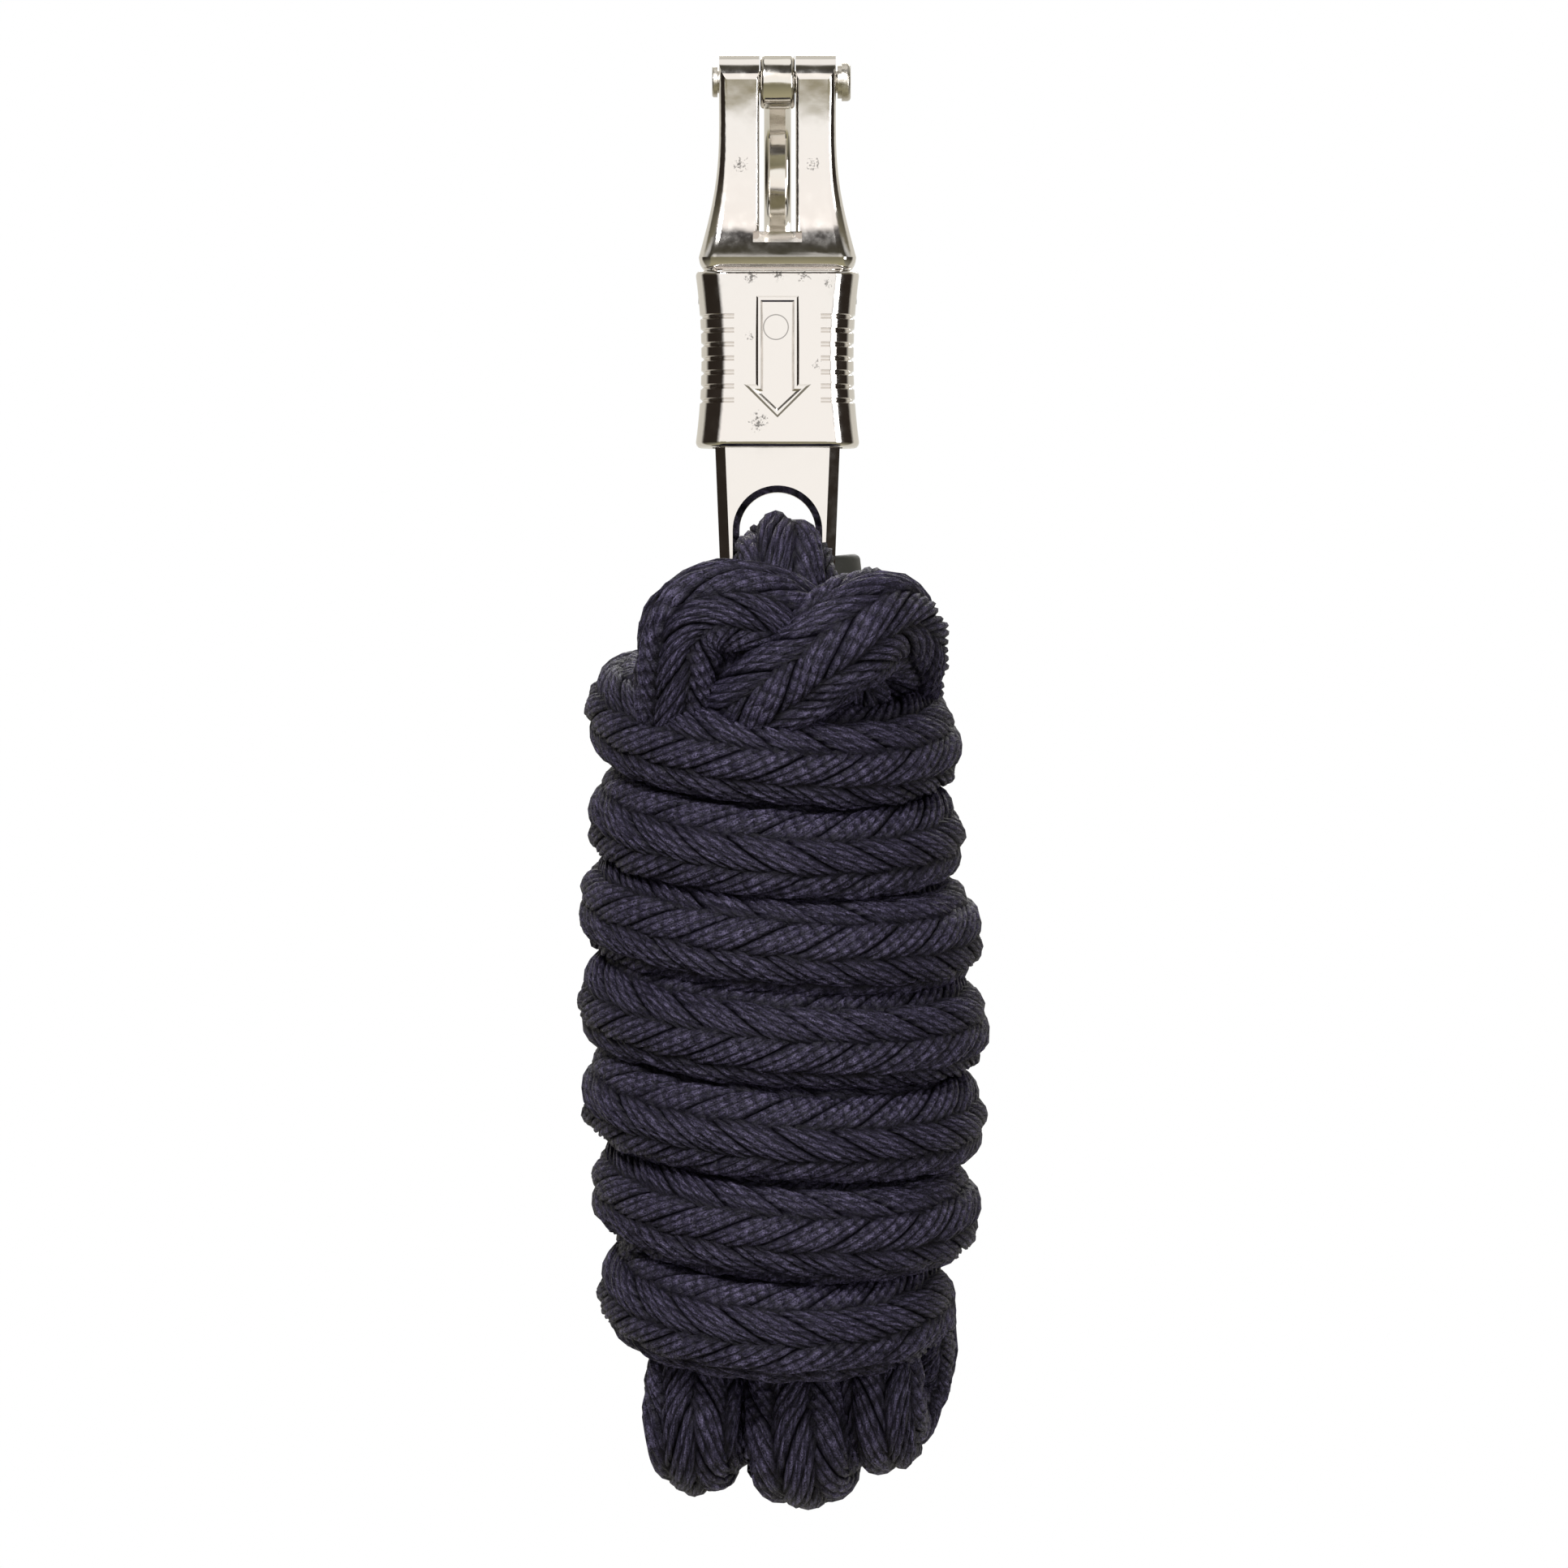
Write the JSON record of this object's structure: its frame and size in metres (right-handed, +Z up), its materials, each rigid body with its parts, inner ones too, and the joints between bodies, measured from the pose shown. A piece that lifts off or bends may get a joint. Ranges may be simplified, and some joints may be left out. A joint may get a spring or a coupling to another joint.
{
  "type": "lead rope",
  "caption": "Thick braided lead rope tied up in a hank, looped through the eye of a nickel-plated quick-release panic snap with a hinged hook and a spring sleeve",
  "frame": {"origin": "the middle of the hook's throat, where the ring or rail that the snap hangs on sits", "axes": "+Z up along the snap, with the rope hanging below; the snap's flat face looks along -Y and the hook bows out along +Y; +X is the rivet's head side"},
  "size_m": [0.0794, 0.077, 0.2806],
  "materials": {
    "nickel": "polished nickel plate on a die casting",
    "rivet_steel": "nickel-plated steel",
    "spring_steel": "bright drawn wire",
    "rope": "navy spun polypropylene braid",
    "cap_plastic": "matte grey-olive plastic"
  },
  "bodies": {
    "snap": {"snap_body": "nickel", "hinge_rivet": "rivet_steel", "rivet_washer": "rivet_steel", "sleeve_spring": "spring_steel", "eye_ferrule": "nickel", "rope_eye_loop": "rope", "rope_hank": "rope", "rope_tail": "rope", "rope_end_cap": "cap_plastic"},
    "hook": {"hook_arm": "nickel"},
    "sleeve": {"release_sleeve": "nickel", "sleeve_cross_pin": "rivet_steel"}
  },
  "joints": [
    {"name": "hook_swing", "type": "hinge", "parent": "snap", "child": "hook", "pos_m": [0, -0.0095, 0.0178], "axis": [1, 0, 0], "range_deg": [0, 100]},
    {"name": "sleeve_slide", "type": "slide", "parent": "snap", "child": "sleeve", "axis": [0, 0, -1], "range_m": [0, 0.008], "stiffness_N_per_m": 900, "springref_m": -0.012, "deforming": ["sleeve_spring"]}
  ]
}
